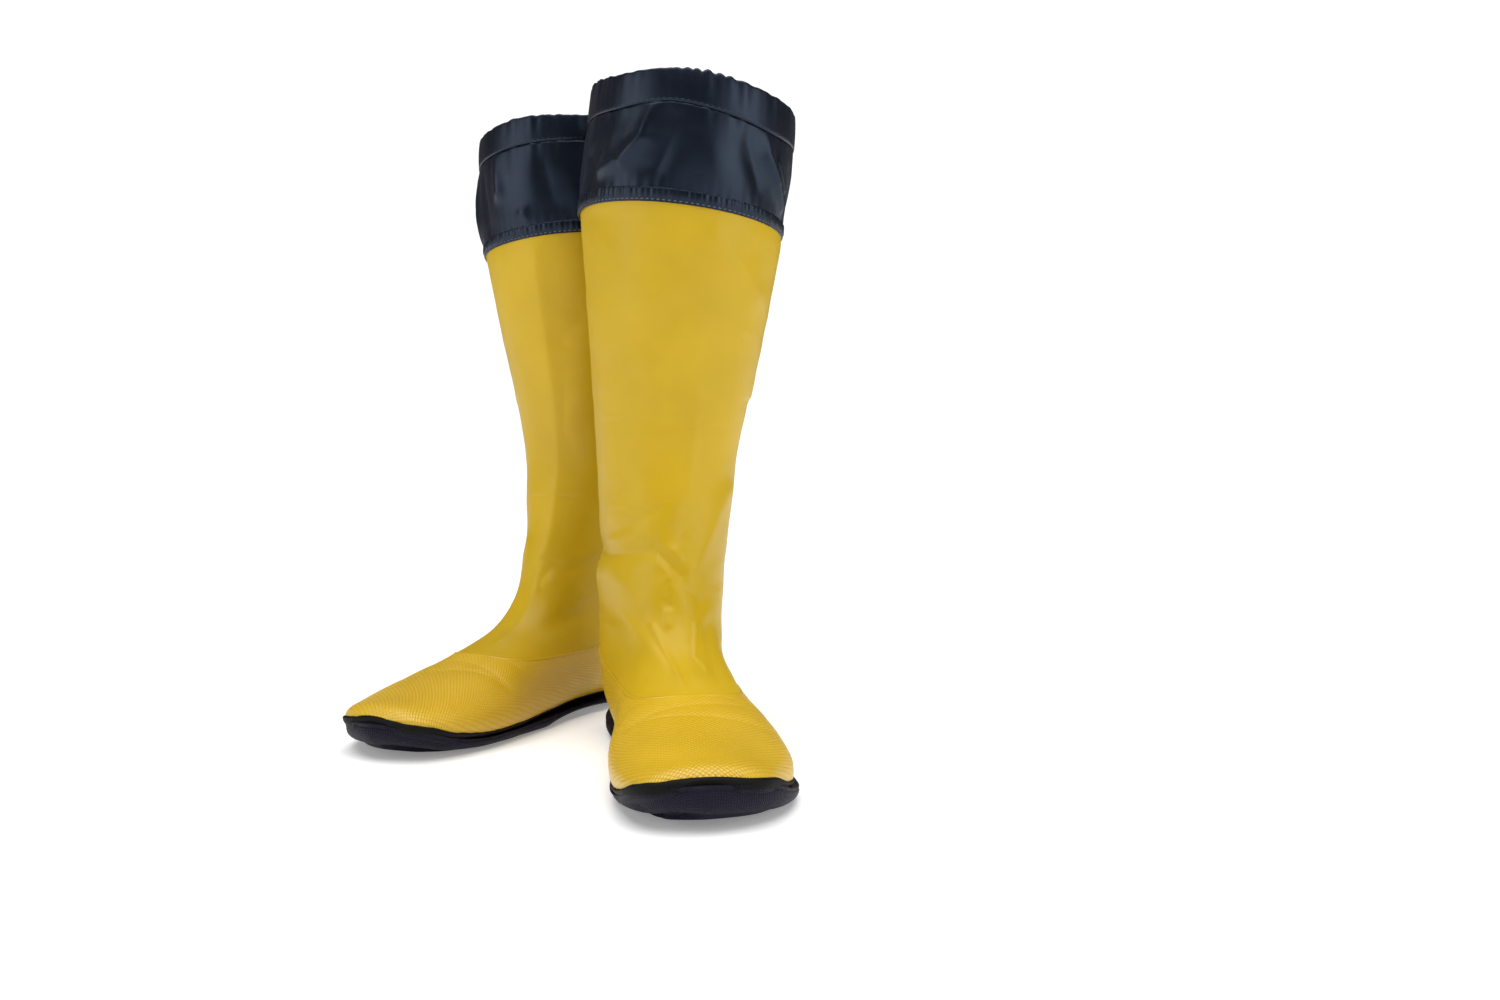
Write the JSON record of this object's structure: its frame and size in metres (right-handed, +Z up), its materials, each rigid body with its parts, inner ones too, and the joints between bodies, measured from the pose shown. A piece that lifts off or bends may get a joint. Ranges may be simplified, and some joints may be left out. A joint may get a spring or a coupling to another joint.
{
  "type": "deck boots",
  "caption": "Pair of tall soft deck boots: wrap-up rubber soles, embossed coated foot, smooth coated leg and a gathered nylon collar with an elastic hem.",
  "frame": {"origin": "on the floor, at the middle of the bottom of the pair's box", "axes": "+Z up, toes towards -Y, the right boot on the -X side; the toes turn outward by 31 and 11 degrees"},
  "size_m": [0.27, 0.3958, 0.4019],
  "materials": {
    "navy_rubber": "satin dark navy moulded rubber with fine ribs",
    "black_rubber": "matte black rubber",
    "embossed_yellow": "satin yellow rubber-coated cloth embossed with a fine diamond grain",
    "coated_yellow": "soft satin yellow coated cloth, almost smooth",
    "navy_nylon": "dark navy woven nylon with a soft sheen",
    "knit_lining": "grey brushed knit",
    "footbed_foam": "dark grey cloth over foam",
    "elastic_web": "black braided elastic"
  },
  "bodies": {
    "right_foot": {"right_outsole": "navy_rubber", "right_edge_strip": "black_rubber", "right_foot_upper": "embossed_yellow", "right_foot_seam": "embossed_yellow", "right_insole": "footbed_foam", "right_ankle": "coated_yellow", "right_lining": "knit_lining"},
    "right_leg": {"right_shaft": "coated_yellow", "right_back_seam": "coated_yellow", "right_welt": "navy_nylon", "right_collar": "navy_nylon"},
    "right_hem": {"right_hem": "navy_nylon", "right_elastic": "elastic_web"},
    "left_foot": {"left_outsole": "navy_rubber", "left_edge_strip": "black_rubber", "left_foot_upper": "embossed_yellow", "left_foot_seam": "embossed_yellow", "left_insole": "footbed_foam", "left_ankle": "coated_yellow", "left_lining": "knit_lining"},
    "left_leg": {"left_shaft": "coated_yellow", "left_back_seam": "coated_yellow", "left_welt": "navy_nylon", "left_collar": "navy_nylon"},
    "left_hem": {"left_hem": "navy_nylon", "left_elastic": "elastic_web"}
  },
  "joints": [
    {"name": "boots_apart", "type": "slide", "parent": "right_foot", "child": "left_foot", "axis": [0.5, -0.866, 0], "range_m": [0, 0.3]},
    {"name": "right_ankle_flex", "type": "hinge", "parent": "right_foot", "child": "right_leg", "pos_m": [-0.00623, 0.13684, 0.09], "axis": [0.8599, -0.5105, 0], "range_deg": [-20, 0], "stiffness_Nm_per_rad": 3, "deforming": ["right_ankle", "right_lining"]},
    {"name": "right_collar_push_down", "type": "slide", "parent": "right_leg", "child": "right_hem", "axis": [-0.1365, 0.0983, 0.9857], "range_m": [-0.036, 0], "deforming": ["right_collar"]},
    {"name": "left_ankle_flex", "type": "hinge", "parent": "left_foot", "child": "left_leg", "pos_m": [0.05103, 0.01518, 0.09], "axis": [0.981, 0.1942, 0], "range_deg": [0, 25], "stiffness_Nm_per_rad": 3, "deforming": ["left_ankle", "left_lining"]},
    {"name": "left_collar_push_down", "type": "slide", "parent": "left_leg", "child": "left_hem", "axis": [0.1615, 0.0471, 0.9857], "range_m": [-0.036, 0], "deforming": ["left_collar"]}
  ]
}
